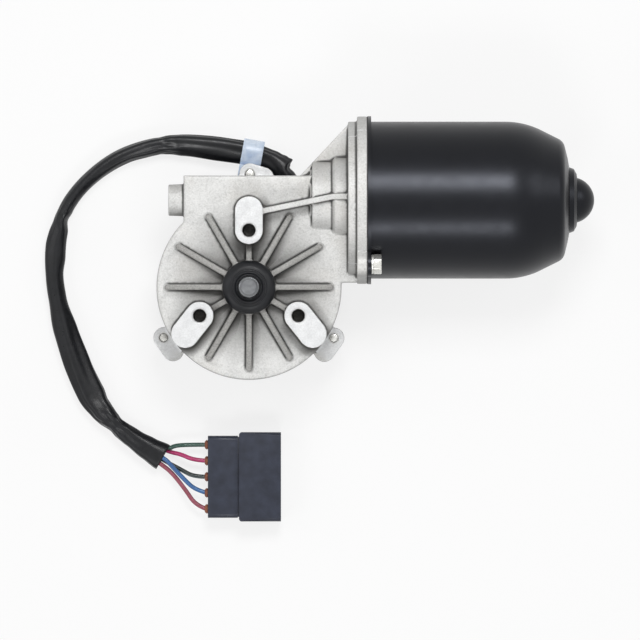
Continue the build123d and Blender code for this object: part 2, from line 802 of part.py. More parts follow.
# Rear cover, its gasket and screws
cover_top = joint_depth - gasket_thickness
flange_back = cover_top - cover_flange
with BuildPart() as cover_gasket:
    with BuildSketch(level(cover_top)):
        joint_outline()
        joint_lugs()
        Circle(chamber_radius, mode=Mode.SUBTRACT)
        with Locations(((box_left + box_right) / 2, box_top - housing_wall)):
            Rectangle(box_right - box_left - 2 * housing_wall, box_top / 2, align=(Align.CENTER, Align.MAX),
                      mode=Mode.SUBTRACT)
        with Locations(*screw_places):
            Circle(lug_screw_hole / 2, mode=Mode.SUBTRACT)
    extrude(amount=gasket_thickness)

# Route of the wiring sleeve, from the cover's side wall round to the connector
laid = floor + sleeve_diameter / 2
exit_height = floor + 8.5
clip_height = laid + 0.4 + clip_thick
sleeve_route = [
    (21.5, box_top - cover_inset, exit_height),
    (16.0, 64.8, exit_height),
    (7.0, 69.9, clip_height),
    (-12.5, 73.5, clip_height),
    (-45.0, 78.0, laid),
    (-74.0, 68.0, laid),
    (-98.3, 44.5, laid),
    (-106.0, 12.5, laid),
    (-102.0, -18.0, laid),
    (-92.0, -46.5, laid),
    (-74.5, -73.5, laid),
    (-46.0, -88.0, laid),
]
exit_plane = Plane(origin=sleeve_route[0], z_dir=Vector(*sleeve_route[1]) - Vector(*sleeve_route[0]))

with BuildPart() as rear_cover:
    with BuildSketch(level(floor)):
        joint_outline(cover_inset)
    extrude(amount=flange_back - floor)
    fillet(edges().filter_by(Plane.XY).group_by(Axis.Z)[0], cover_edge)
    with BuildSketch(level(flange_back)):
        joint_outline()
        joint_lugs()
    extrude(amount=cover_flange)
    with BuildSketch(level(floor + cover_wall)):
        joint_outline(cover_inset + cover_wall)
    extrude(amount=cover_top - floor, mode=Mode.SUBTRACT)
    with BuildSketch(level(cover_top - 2)):
        Circle(chamber_outer - cover_inset - 0.6)
    extrude(amount=2, mode=Mode.SUBTRACT)
    with BuildSketch(level(flange_back)):
        with Locations(*screw_places):
            Circle(lug_screw_hole / 2)
    extrude(amount=cover_flange, mode=Mode.SUBTRACT)
    with BuildSketch(exit_plane.offset(-8)):
        Circle(sleeve_diameter / 2 + 1)
    extrude(amount=12, mode=Mode.SUBTRACT)

cover_head_flats = 7.0
cover_head_height = 3.2
with BuildPart() as cover_screws:
    for place, spacer in zip(screw_places, (0, 0, clip_thick)):
        with BuildSketch(level(flange_back - spacer)):
            with Locations(place):
                Circle(lug_screw_hole / 2)
        extrude(amount=lug_front - 1 - flange_back + spacer)
        with BuildSketch(level(flange_back - spacer)):
            with Locations(place):
                RegularPolygon(cover_head_flats / 2, 6, major_radius=False)
        extrude(amount=-cover_head_height)

with BuildPart() as cover_grommet:
    with BuildSketch(exit_plane.offset(-3.5)):
        Circle(sleeve_diameter / 2 + 1)
    extrude(amount=3.5)

# Contact carrier in the cover with three spring fingers under the park ring
carrier_thick = 2.0
with BuildPart() as contact_carrier:
    with BuildSketch(level(cover_top - carrier_thick)):
        Circle(chamber_outer - cover_inset - 0.6)
    extrude(amount=carrier_thick)

finger_top = wheel_back - ring_thickness - 0.3
with BuildPart() as contact_fingers:
    for radius in finger_radii:
        with BuildSketch(Plane.YZ.offset(-radius - 1.2)):
            turned((-14, cover_top), (-4, cover_top), (-4, cover_top + 0.8), (-12.8, cover_top + 0.8),
                   (-1.2, finger_top - 0.6), (1.0, finger_top - 0.6), (2.6, finger_top - 1.6),
                   (3.2, finger_top - 1.0), (1.4, finger_top), (-1.6, finger_top), (-14, cover_top + 1.2))
        extrude(amount=2.4)

# Wiring: sleeve along the floor, clip, five wires and the connector
def bend_radii(route):
    """The largest arc that each corner's two runs leave room for."""
    points = [Vector(*point) for point in route]
    radii = []
    for before, corner, after in zip(points, points[1:], points[2:]):
        arriving = corner - before
        leaving = after - corner
        turn = radians(arriving.get_angle(leaving))
        radii.append(0.45 * min(arriving.length, leaving.length) / tan(turn / 2))
    return radii


with BuildPart() as wiring_sleeve:
    with BuildLine():
        sleeve_path = FilletPolyline(*sleeve_route, radius=bend_radii(sleeve_route))
    with BuildSketch(Plane(origin=sleeve_path @ 0, z_dir=sleeve_path % 0)):
        Circle(sleeve_diameter / 2)
    sweep(path=sleeve_path)
    with BuildSketch(Plane(origin=sleeve_path @ 1, z_dir=-(sleeve_path % 1))):
        Circle(sleeve_diameter / 2 - sleeve_wall)
    extrude(amount=sleeve_bore_depth, mode=Mode.SUBTRACT)

# Wire routes from the bottom of the sleeve's bore to the seals
mouth = Vector(*sleeve_route[-1])
mouth_way = (mouth - Vector(*sleeve_route[-2])).normalized()
mouth_side = Vector(-mouth_way.Y, mouth_way.X)


def in_sleeve(along, side, up):
    """A point beside the sleeve's axis, measured from its mouth."""
    point = mouth + mouth_way * along + mouth_side * side + Vector(0, 0, up)
    return (point.X, point.Y, point.Z)


wire_height = floor + rear_body[2] / 2
wire_end = connector_back - 2
wire_rows = [connector_middle + wire_pitch * step for step in (2, 1, 0, -1, -2)]
wire_routes = {
    "wire_green": [
        in_sleeve(-sleeve_bore_depth, 2.6, 0.5),
        in_sleeve(1, 2.6, 0.5),
        (-38.0, -85.2, wire_height - 0.6),
        (-32.0, wire_rows[0], wire_height),
        (wire_end, wire_rows[0], wire_height),
    ],
    "wire_red": [
        in_sleeve(-sleeve_bore_depth, 1.4, -2.4),
        in_sleeve(1, 1.4, -2.4),
        (-37.0, -88.4, wire_height - 1.6),
        (-29.5, wire_rows[1], wire_height),
        (wire_end, wire_rows[1], wire_height),
    ],
    "wire_black": [
        in_sleeve(-sleeve_bore_depth, -1.4, -2.4),
        in_sleeve(0.5, -1.4, -2.4),
        (-36.5, -96.5, wire_height - 2.2),
        (-29.5, wire_rows[2], wire_height),
        (wire_end, wire_rows[2], wire_height),
    ],
    "wire_blue": [
        in_sleeve(-sleeve_bore_depth, 0, 2.5),
        in_sleeve(1, 0, 2.5),
        (-39.5, -95.5, wire_height + 0.8),
        (-33.0, -104.5, wire_height + 0.2),
        (-28.6, -108.2, wire_height),
        (wire_end - 0.2, wire_rows[3], wire_height),
    ],
    "wire_brown": [
        in_sleeve(-sleeve_bore_depth, -2.4, 0.5),
        in_sleeve(1, -2.8, 0.5),
        (-39.8, -98.8, wire_height - 1.2),
        (-32.8, -109.2, wire_height - 0.6),
        (-28.9, -116.0, wire_height),
        (wire_end - 0.4, wire_rows[4], wire_height),
    ],
}
wires = {}
for wire_name, route in wire_routes.items():
    with BuildPart() as wire:
        with BuildLine():
            wire_path = FilletPolyline(*route, radius=bend_radii(route))
        with BuildSketch(Plane(origin=wire_path @ 0, z_dir=wire_path % 0)):
            Circle(wire_diameter / 2)
        sweep(path=wire_path)
    wires[wire_name] = wire
    print(wire_name, "bend radii", [round(radius, 1) for radius in bend_radii(route)],
          "length", round(wire_path.length, 1),
          "volume share", round(wire.part.volume / (wire_path.length * pi * wire_diameter**2 / 4), 4))
print("wiring_sleeve bend radii", [round(radius, 1) for radius in bend_radii(sleeve_route)],
      "length", round(sleeve_path.length, 1))

# Clip strap round the sleeve, held under the top cover screw
clip_place = 5.6  # from the route's third point back along its run
clip_way = (Vector(*sleeve_route[2]) - Vector(*sleeve_route[3])).normalized()
clip_side = Vector(-clip_way.Y, clip_way.X)
clip_centre = Vector(*sleeve_route[2]) - clip_way * clip_place
clip_plane = Plane(origin=clip_centre, x_dir=clip_side, z_dir=clip_way)
with BuildPart() as cable_clip:
    foot_rise = flange_back - clip_height
    foot_reach = 14.4
    loop_inner = sleeve_diameter / 2 + 0.3
    with BuildSketch(clip_plane.offset(-clip_width / 2)):
        Circle(loop_inner + clip_thick)
        turned((-loop_inner - clip_thick, 0), (-loop_inner, 0), (-loop_inner, foot_rise),
               (-foot_reach, foot_rise), (-foot_reach, foot_rise - clip_thick),
               (-loop_inner - clip_thick, foot_rise - clip_thick))
        Circle(loop_inner, mode=Mode.SUBTRACT)
    extrude(amount=clip_width)
    with BuildSketch(level(flange_back - clip_thick)):
        with Locations(screw_places[2]):
            Circle(lug_screw_hole / 2)
    extrude(amount=clip_thick, mode=Mode.SUBTRACT)

# Connector with its seals and blades
hood_start = connector_back + rear_body[0]
hood_end = hood_start + hood[0]
cavity_start = hood_end - hood_depth
with BuildPart() as connector_housing:
    with BuildSketch(level(floor)):
        with Locations((connector_back, connector_middle)):
            Rectangle(rear_body[0], rear_body[1], align=(Align.MIN, Align.CENTER))
    extrude(amount=rear_body[2])
    with BuildSketch(level(floor)):
        with Locations((hood_start, connector_middle)):
            Rectangle(hood[0], hood[1], align=(Align.MIN, Align.CENTER))
    extrude(amount=hood[2])
    corners = edges().filter_by(Axis.Z).group_by(Axis.X)[1]
    fillet([corners.sort_by(Axis.Y)[0], corners.sort_by(Axis.Y)[-1]], hood_corner)
    opening = Plane((cavity_start, connector_middle, floor + hood[2] / 2), x_dir=(0, 1, 0), z_dir=(1, 0, 0))
    with BuildSketch(opening):
        Rectangle(hood[1] - 2 * hood_wall, hood[2] - 2 * hood_wall)
    extrude(amount=hood_depth, mode=Mode.SUBTRACT)
    back_face = Plane((connector_back, connector_middle, wire_height), x_dir=(0, 1, 0), z_dir=(1, 0, 0))
    with BuildSketch(back_face):
        with GridLocations(wire_pitch, 1, 5, 1):
            Circle(seal_diameter / 2)
    extrude(amount=seal_length - 2, mode=Mode.SUBTRACT)
    with BuildSketch(back_face):
        with GridLocations(wire_pitch, 1, 5, 1):
            Rectangle(blade[1], blade[2])
    extrude(amount=hood_end - connector_back, mode=Mode.SUBTRACT)

with BuildPart() as connector_seals:
    with BuildSketch(back_face.offset(-2)):
        with GridLocations(wire_pitch, 1, 5, 1):
            Circle(seal_diameter / 2)
    extrude(amount=seal_length)

with BuildPart() as connector_blades:
    with BuildSketch(back_face.offset(seal_length - 2)):
        with GridLocations(wire_pitch, 1, 5, 1):
            Rectangle(blade[1], blade[2])
    extrude(amount=blade[0])

pieces = {
    "gear_housing": gear_housing,
    "motor_can": motor_can,
    "can_gasket": can_gasket,
    "can_washers": can_washers,
    "can_screws": can_screws,
    "armature_shaft": armature_shaft,
    "armature_core": armature_core,
    "armature_windings": armature_windings,
    "commutator": commutator,
    "commutator_hub": commutator_hub,
    "bearing_outer_race": bearing_outer_race,
    "bearing_inner_race": bearing_inner_race,
    "bearing_balls": bearing_balls,
    "bearing_cage": bearing_cage,
    "bearing_retainer": bearing_retainer,
    "worm_end_bush": worm_end_bush,
    "thrust_pad": thrust_pad,
    "thrust_ball": thrust_ball,
    "rear_bush": rear_bush,
    "bush_retainer": bush_retainer,
    "field_magnets": field_magnets,
    "magnet_clips": magnet_clips,
    "brush_plate": brush_plate,
    "brush_holders": brush_holders,
    "brushes": brushes,
    "brush_springs": brush_springs,
    "output_shaft": output_shaft,
    "output_bush": output_bush,
    "shaft_seal": shaft_seal,
    "thrust_washer": thrust_washer,
    "shaft_washer": shaft_washer,
    "shaft_circlips": shaft_circlips,
    "wheel_hub": wheel_hub,
    "worm_wheel": worm_wheel,
    "park_contact_ring": park_contact_ring,
    "shaft_boot": shaft_boot,
    "cover_gasket": cover_gasket,
    "rear_cover": rear_cover,
    "cover_screws": cover_screws,
    "cover_grommet": cover_grommet,
    "contact_carrier": contact_carrier,
    "contact_fingers": contact_fingers,
    "cable_clip": cable_clip,
    "wiring_sleeve": wiring_sleeve,
    **wires,
    "connector_housing": connector_housing,
    "connector_seals": connector_seals,
    "connector_blades": connector_blades,
}

os.makedirs("parts", exist_ok=True)
for name, piece in pieces.items():
    piece.part.label = name
    export_step(piece.part, f"parts/{name}.step")
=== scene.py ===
import json
import math

import bmesh
import bpy
import numpy as np
from mathutils import Matrix, Vector, noise

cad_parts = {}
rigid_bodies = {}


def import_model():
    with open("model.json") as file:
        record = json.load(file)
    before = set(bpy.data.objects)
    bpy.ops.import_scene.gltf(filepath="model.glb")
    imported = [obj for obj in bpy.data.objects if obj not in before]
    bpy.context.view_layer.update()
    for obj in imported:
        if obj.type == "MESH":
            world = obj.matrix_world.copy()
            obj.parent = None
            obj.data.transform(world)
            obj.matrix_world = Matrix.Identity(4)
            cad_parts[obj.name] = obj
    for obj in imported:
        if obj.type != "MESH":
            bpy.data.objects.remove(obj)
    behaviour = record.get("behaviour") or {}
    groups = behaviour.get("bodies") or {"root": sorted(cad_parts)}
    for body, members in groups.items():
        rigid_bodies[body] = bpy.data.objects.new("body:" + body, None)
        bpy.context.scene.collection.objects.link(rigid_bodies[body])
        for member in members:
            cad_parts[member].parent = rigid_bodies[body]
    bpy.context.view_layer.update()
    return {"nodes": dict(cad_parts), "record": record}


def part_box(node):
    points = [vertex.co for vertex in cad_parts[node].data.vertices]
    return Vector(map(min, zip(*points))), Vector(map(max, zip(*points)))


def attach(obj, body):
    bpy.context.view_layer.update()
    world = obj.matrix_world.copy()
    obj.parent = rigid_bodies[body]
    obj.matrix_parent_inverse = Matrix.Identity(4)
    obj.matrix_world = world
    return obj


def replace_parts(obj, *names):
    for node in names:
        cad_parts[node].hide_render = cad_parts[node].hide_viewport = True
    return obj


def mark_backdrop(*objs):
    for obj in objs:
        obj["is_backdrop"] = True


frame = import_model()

# Looks of the wiper motor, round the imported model. Metres, in the model's own frame:
# +Z runs out along the output shaft towards the camera, +X along the motor.

MM = 0.001
nodes = frame["nodes"]
slots = {part["node"]: part["material_slot"] for part in frame["record"]["subparts"]}
scene_objects = bpy.context.scene.collection.objects

# Places on the casting, in millimetres from the output shaft's axis and from its mounting faces
hole_circle = 30
hole_turns = [math.radians(turn) for turn in (90, 210, 330)]
hole_places = [(hole_circle * math.cos(turn), hole_circle * math.sin(turn)) for turn in hole_turns]
boss_radius = 7.4
boss_ends = [(0, 40.5), (-33.6, -24.6), (33.6, -24.6)]  # each boss runs from its hole to one of these
lug_places = [(0.3, 60.2), (-45.3, -26.6), (44.8, -26.8)]  # of the rear cover's screws
rib_step = math.radians(30)
rib_start = 13.5
rib_end = 46
rib_tops = (-7.2, -10.0)  # heights at rib_start and 34 further out
rib_fall_run = 34


def srgb(code):
    """A written colour such as D9D8D3 as linear values."""
    values = [int(code[i:i + 2], 16) / 255 for i in (0, 2, 4)]
    return [v / 12.92 if v <= 0.04045 else ((v + 0.055) / 1.055) ** 2.4 for v in values] + [1.0]


def point(x, y, z):
    """A place given in millimetres."""
    return Vector((x, y, z)) * MM


def nearest(x, y, places):
    """How far a place is from the nearest of some others."""
    return min(math.hypot(x - a, y - b) for a, b in places)


# Materials

class Nodes:
    """Short calls for building the nodes of a material or a world."""

    def __init__(self, owner, shader):
        owner.use_nodes = True
        self.owner = owner
        self.tree = owner.node_tree
        self.shader = self.tree.nodes[shader]

    def add(self, kind, links=None, **settings):
        node = self.tree.nodes.new(kind)
        for key, value in settings.items():
            setattr(node, key, value)
        for key, value in (links or {}).items():
            self.put(node.inputs[key], value)
        return node

    def put(self, socket, value):
        if isinstance(value, bpy.types.NodeSocket):
            self.tree.links.new(value, socket)
        else:
            socket.default_value = value

    def set(self, **values):
        for key, value in values.items():
            self.put(self.shader.inputs[key.replace("_", " ")], value)

    def ramp(self, value, low, high, to_low=0.0, to_high=1.0):
        """value carried from low..high to to_low..to_high, held at both ends."""
        made = self.add("ShaderNodeMapRange", {"Value": value, "From Min": low, "From Max": high,
                                               "To Min": to_low, "To Max": to_high})
        return made.outputs[0]

    def mix(self, factor, a, b):
        made = self.add("ShaderNodeMix", data_type="RGBA")
        self.put(made.inputs["Factor"], factor)
        self.put(made.inputs["A"], a)
        self.put(made.inputs["B"], b)
        return made.outputs["Result"]

    def math(self, operation, a, b=0.0):
        return self.add("ShaderNodeMath", {0: a, 1: b}, operation=operation).outputs[0]

    def times(self, a, b):
        return self.math("MULTIPLY", a, b)

    def vector(self, operation, a, b=(0, 0, 0)):
        made = self.add("ShaderNodeVectorMath", {0: a, 1: b}, operation=operation)
        return made.outputs["Value" if operation in ("LENGTH", "DOT_PRODUCT") else "Vector"]

    def split(self, value):
        return self.add("ShaderNodeSeparateXYZ", {0: value}).outputs

    def white_rays(self):
        """1 for the rays that see the white surroundings as they are: from the camera, off gloss and through glass."""
        rays = self.add("ShaderNodeLightPath").outputs
        beyond = self.math("MAXIMUM", rays["Is Glossy Ray"], rays["Is Transmission Ray"])
        return self.math("MAXIMUM", rays["Is Camera Ray"], beyond)


class Surface(Nodes):
    """The nodes of a new material, placed by its object's own coordinates."""

    def __init__(self, name):
        super().__init__(bpy.data.materials.new(name), "Principled BSDF")
        where = self.add("ShaderNodeTexCoord").outputs
        self.place = where["Object"]
        self.normal = where["Normal"]

    def noise(self, size, detail, rough=0.5):
        """Noise whose lumps are about size metres across."""
        made = self.add("ShaderNodeTexNoise", {"Vector": self.place, "Scale": 1 / size, "Detail": detail,
                                               "Roughness": rough})
        return made.outputs["Fac"]

    def clouds(self, size, detail, rough=0.5, low=0.0, high=1.0):
        """Soft patches about size metres across, from low to high."""
        return self.ramp(self.noise(size, detail, rough), 0.3, 0.7, low, high)

    def stored(self, name):
        """What the mesh stores on its vertices under a name."""
        return self.add("ShaderNodeAttribute", attribute_name=name).outputs["Fac"]

    def bump(self, height, distance, strength=1.0, after=None):
        links = {"Height": height, "Distance": distance, "Strength": strength}
        if after is not None:
            links["Normal"] = after
        return self.add("ShaderNodeBump", links).outputs[0]


def plain(name, low, high, roughness=0.5, metallic=0.0, grain=0.8 * MM, grain_depth=0.02 * MM, spread=6 * MM,
          rough_spread=0.12, **more):
    """A surface whose colour drifts between two tones, with a fine grain."""
    n = Surface(name)
    drift = n.clouds(spread, 4)
    gloss = n.clouds(spread / 3, 3, low=roughness - rough_spread / 2, high=roughness + rough_spread / 2)
    n.set(Base_Color=n.mix(drift, srgb(low), srgb(high)), Metallic=metallic, Roughness=gloss,
          Normal=n.bump(n.noise(grain, 3), grain_depth), **more)
    return n.owner


def boss_painted_shadow(n, flat):
    """Painted shadow at the feet of the mounting bosses, most on their lower right sides away from the light, 0 to 1.
    """
    lower_right = (0.62, -0.78, 0)
    foot = (boss_radius + 0.5) * MM
    reach = (boss_radius + 5.0) * MM
    most = 0.0
    for start, end in zip(hole_places, boss_ends):
        start, end = point(*start, 0), point(*end, 0)
        run = end - start
        offset = n.vector("SUBTRACT", flat, start)
        share = n.ramp(n.vector("DOT_PRODUCT", offset, run / run.length_squared), 0, 1)
        on_run = n.add("ShaderNodeVectorMath", {0: run, "Scale": share}, operation="SCALE").outputs[0]
        across = n.vector("SUBTRACT", offset, on_run)
        gap = n.vector("LENGTH", across)
        facing = n.math("DIVIDE", n.vector("DOT_PRODUCT", across, lower_right), gap)
        near = n.math("POWER", n.ramp(gap, foot, reach, 1.0, 0.0), 0.9)
        most = n.math("MAXIMUM", most, n.times(near, n.ramp(facing, -0.4, 0.6, 0.12, 1.0)))
    return most


def rib_painted_shadow(n, flat, away):
    """Painted shadow on the lower right side of each rib of the dish, away from the light, 0 to 1, less towards the
    dish's rim.
    """
    lee_turn = math.radians(143)  # turns a rib's angle so that its cosine is 1 where its left side lies in the lee
    at = n.split(flat)
    turn = n.math("ARCTAN2", at["Y"], at["X"])
    rib_turn = n.times(n.math("ROUND", n.math("DIVIDE", turn, rib_step)), rib_step)
    aside = n.times(n.math("SUBTRACT", turn, rib_turn), away)
    lee = n.times(n.math("COSINE", n.math("ADD", rib_turn, lee_turn)), n.math("SIGN", aside))
    near = n.ramp(n.math("ABSOLUTE", aside), 1.7 * MM, 6.5 * MM, 1.0, 0.0)
    fade = n.ramp(away, 22 * MM, 44 * MM, 1.0, 0.15)
    return n.times(n.times(near, n.ramp(lee, 0, 0.8)), fade)


def cast_material():
    """Die-cast aluminium: a grey skin with pits, specks and cloudy stains, brighter on its milled faces. It is
    darker on the ribs' tops, and has painted shade round the hub, in creases, by the ribs and bosses on their
    sides away from the light, and on steep sides."""
    n = Surface("cast_aluminium")
    # the colour of the painted shadows by the ribs and bosses
    painted_shadow_colour = srgb("35332F")
    flat = n.vector("MULTIPLY", n.place, (1, 1, 0))
    away = n.vector("LENGTH", flat)
    sunk = n.stored("sunk")
    milled_and_lug_light = n.stored("milled_and_lug_light")

    cloud = n.clouds(11 * MM, 5, 0.6)
    speck = n.ramp(n.noise(0.9 * MM, 4, 0.75), 0.38, 0.64)
    stain = n.ramp(n.noise(26 * MM, 3), 0.45, 0.75)
    pit = n.ramp(n.noise(1.3 * MM, 3, 0.6), 0.34, 0.44, 0.24, 0.0)
    skin = n.mix(cloud, srgb("BBBBB9"), srgb("D6D6D4"))
    skin = n.mix(n.times(stain, 0.3), skin, srgb("C9C1B5"))
    skin = n.mix(n.times(speck, 0.5), skin, srgb("EFEFEE"))
    skin = n.mix(pit, skin, srgb("84827F"))

    hub_shade = n.times(n.ramp(away, 12 * MM, 42 * MM, 0.84, 0.06), sunk)
    skin = n.mix(hub_shade, skin, srgb("4E4D4B"))
    # painted shadow on the ribs' lower right sides, inside the dish
    skin = n.mix(n.times(n.times(rib_painted_shadow(n, flat, away), sunk), 0.95), skin, painted_shadow_colour)
    skin = n.mix(n.times(n.stored("dull"), 0.8), skin, n.mix(speck, srgb("6E6D6A"), srgb("94928E")))
    # painted shade in the creases
    skin = n.mix(n.ramp(n.stored("crease"), 0.1, 0.33, 0.0, 0.95), skin, srgb("2B2A28"))

    # painted shadow at the feet of the bosses, on the plate only
    height = n.split(n.place)["Z"]
    low = n.times(n.ramp(height, -2.5 * MM, -0.6 * MM, 1.0, 0.0), n.ramp(height, -24 * MM, -20 * MM))
    skin = n.mix(n.times(boss_painted_shadow(n, flat), low), skin, painted_shadow_colour)

    # painted shade on steep sides, most on those turned away from the light at +Y
    facing = n.split(n.normal)
    steep_painted_shade = n.times(n.ramp(facing["Z"], 0.15, 0.95, 0.62, 0.0), n.ramp(facing["Y"], -0.3, 0.5, 1.0, 0.7))
    skin = n.mix(steep_painted_shade, skin, srgb("5E5D5B"))

    face = n.mix(n.clouds(5 * MM, 3), srgb("DBDCDD"), srgb("EDEEEF"))
    face = n.mix(n.times(speck, 0.35), face, srgb("B4B4B3"))
    rough = n.math("SUBTRACT", n.ramp(speck, 0, 1, 0.44, 0.58), n.times(milled_and_lug_light, 0.1))
    lumps = n.bump(n.noise(3 * MM, 3), 0.1 * MM, 0.6)
    n.set(Base_Color=n.mix(milled_and_lug_light, skin, face), Metallic=0.1, Roughness=rough,
          Normal=n.bump(n.noise(0.6 * MM, 4, 0.75), 0.1 * MM, 0.9, lumps))
    return n.owner


finishes = {
    "cast_aluminium": cast_material(),
    "black_enamel": plain("black_enamel", "050506", "08080A", 0.32, 0.0, 0.9 * MM, 0.006 * MM, 20 * MM, 0.05,
                          Specular_IOR_Level=0.27, Specular_Tint=(0.84, 0.88, 1.0, 1.0)),
    "bright_zinc": plain("bright_zinc", "CBCAC5", "EAEAE6", 0.28, 0.7),
    "steel": plain("steel", "66676A", "808283", 0.34, 0.95, 0.3 * MM),
    "dark_steel": plain("dark_steel", "4A4B4D", "5C5D5F", 0.4, 0.9),
    "bronze": plain("bronze", "8A6A3E", "A5814E", 0.45, 0.8),
    "copper": plain("copper", "8F4E2C", "B4683C", 0.35, 0.85),
    "carbon": plain("carbon", "18181A", "232325", 0.7),
    "ferrite": plain("ferrite", "2B2B2D", "38383A", 0.75),
    "black_rubber": plain("black_rubber", "131417", "1D1E21", 0.4, 0.0, 0.5 * MM, 0.01 * MM,
                          Specular_IOR_Level=0.25),
    "black_plastic": plain("black_plastic", "1B1C1F", "232428", 0.45),
    "grey_plastic": plain("grey_plastic", "2C2F39", "373B48", 0.34, 0.0, 0.5 * MM, 0.006 * MM, rough_spread=0.06,
                          Specular_IOR_Level=0.25),
    "white_plastic": plain("white_plastic", "DAD7CC", "E6E4DA", 0.4),
    "brown_board": plain("brown_board", "5A3A22", "6E4A2D", 0.6),
    "gasket": plain("gasket", "242424", "303030", 0.8),
    "clear_nylon": plain("clear_nylon", "AFC1DA", "DAE3EE", 0.3),
    "black_vinyl": plain("black_vinyl", "141517", "1B1C1F", 0.33, 0.0, 3 * MM, 0.02 * MM,
                         Specular_IOR_Level=0.25),
    "wire_green": plain("wire_green", "16382F", "1F4A3E", 0.3),
    "wire_red": plain("wire_red", "A3245A", "B5326B", 0.3),
    "wire_black": plain("wire_black", "16201F", "202C2C", 0.3),
    "wire_blue": plain("wire_blue", "27548A", "3A6CA3", 0.3),
    "wire_brown": plain("wire_brown", "7A2C3C", "964658", 0.3),
    "seal_brown": plain("seal_brown", "74402F", "935638", 0.5),
    "tinned_brass": plain("tinned_brass", "B4AE9A", "C9C4B2", 0.3, 0.9),
}
stripe_grey = plain("stripe_grey", "5C6A6B", "6E7B7C", 0.4)
# painted shade: a dark colour for the walls of the mounting holes, where shade falls
hole_painted_shade = plain("hole_painted_shade", "3E3C3A", "6A6764", 0.5, 0.3, 0.6 * MM, 0.1 * MM, 2 * MM)

for node, slot_name in slots.items():
    nodes[node].data.materials.clear()
    nodes[node].data.materials.append(finishes[slot_name])


# Making pieces

def show(made, slot_name, body="housing", smooth=True):
    """Links a made object, gives it the finish of a slot and has it ride on a body."""
    scene_objects.link(made)
    made.data.materials.clear()
    made.data.materials.append(finishes[slot_name])
    made.data.shade_smooth()
    if not smooth:
        made.data.set_sharp_from_angle(angle=math.radians(32))
    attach(made, body)
    return made


def mesh_piece(name, vertices, faces, slot_name, body="housing", smooth=True):
    """A new piece from vertices in metres."""
    mesh = bpy.data.meshes.new(name)
    mesh.from_pydata(vertices, [], faces)
    mesh.validate()
    return show(bpy.data.objects.new(name, mesh), slot_name, body, smooth)


def baked(made, *steps):
    """Gives an object the mesh that modifiers make of it. It is in the scene only while they work."""
    scene_objects.link(made)
    for kind, settings in steps:
        modifier = made.modifiers.new(kind.lower(), kind)
        for key, value in settings.items():
            setattr(modifier, key, value)
    depsgraph = bpy.context.evaluated_depsgraph_get()
    mesh = bpy.data.meshes.new_from_object(made.evaluated_get(depsgraph))
    made.modifiers.clear()
    made.data = mesh
    scene_objects.unlink(made)


def rounding(width, angle):
    """The modifier step that rounds the edges which turn by more than an angle in degrees."""
    return "BEVEL", {"width": width, "segments": 2, "limit_method": "ANGLE", "angle_limit": math.radians(angle)}


def cutting(cutter, overlaps=False):
    """The modifier step that cuts one object out of another; the cutter's own pieces may overlap."""
    return "BOOLEAN", {"object": cutter, "operation": "DIFFERENCE", "solver": "EXACT", "use_self": overlaps}


def copy_of(node, name):
    """A free copy of a CAD node's mesh with its seams welded."""
    mesh = nodes[node].data.copy()
    work = bmesh.new()
    work.from_mesh(mesh)
    bmesh.ops.remove_doubles(work, verts=work.verts, dist=0.001 * MM)
    work.to_mesh(mesh)
    work.free()
    return bpy.data.objects.new(name, mesh)


def whole_faces(made):
    """An object's mesh for editing, with triangles in one plane joined."""
    work = bmesh.new()
    work.from_mesh(made.data)
    bmesh.ops.dissolve_limit(work, angle_limit=math.radians(1.5), verts=work.verts, edges=work.edges)
    return work


def cut_box(work, middle, size):
    """Adds a box to the mesh of a cutter."""
    bmesh.ops.create_cube(work, size=1, matrix=Matrix.Translation(middle) @ Matrix.Diagonal((*size, 1)))


def cutter_from(work, name):
    """An object in the scene to cut with."""
    made = bpy.data.objects.new(name, bpy.data.meshes.new(name))
    work.to_mesh(made.data)
    work.free()
    scene_objects.link(made)
    return made


def softened(node, name, width):
    """A CAD node again, with its sharp edges rounded off."""
    made = copy_of(node, name)
    work = whole_faces(made)
    work.to_mesh(made.data)
    work.free()
    baked(made, rounding(width, 32))
    show(made, slots[node], smooth=False)
    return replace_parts(made, node)


def ring_faces(rings, around, first=0, far_end=True):
    """Quads between rings of vertices laid one after the other, closed at the near end and, if asked, the far end."""
    faces = []
    for i in range(rings - 1):
        for j in range(around):
            k = (j + 1) % around
            a = first + i * around
            faces.append((a + j, a + k, a + around + k, a + around + j))
    faces.append(tuple(range(first + around - 1, first - 1, -1)))
    if far_end:
        last = first + (rings - 1) * around
        faces.append(tuple(range(last, last + around)))
    return faces


def turned(name, outline, slot_name, steps):
    """An outline of (radius, height) in millimetres turned about the output shaft."""
    vertices = []
    faces = []
    for i in range(steps):
        angle = 2 * math.pi * i / steps
        for radius, height in outline:
            vertices.append(point(radius * math.cos(angle), radius * math.sin(angle), height))
    count = len(outline)
    for i in range(steps):
        after = (i + 1) % steps
        for j in range(count):
            k = (j + 1) % count
            faces.append((i * count + j, after * count + j, after * count + k, i * count + k))
    return mesh_piece(name, vertices, faces, slot_name)


# Cords: routes in millimetres

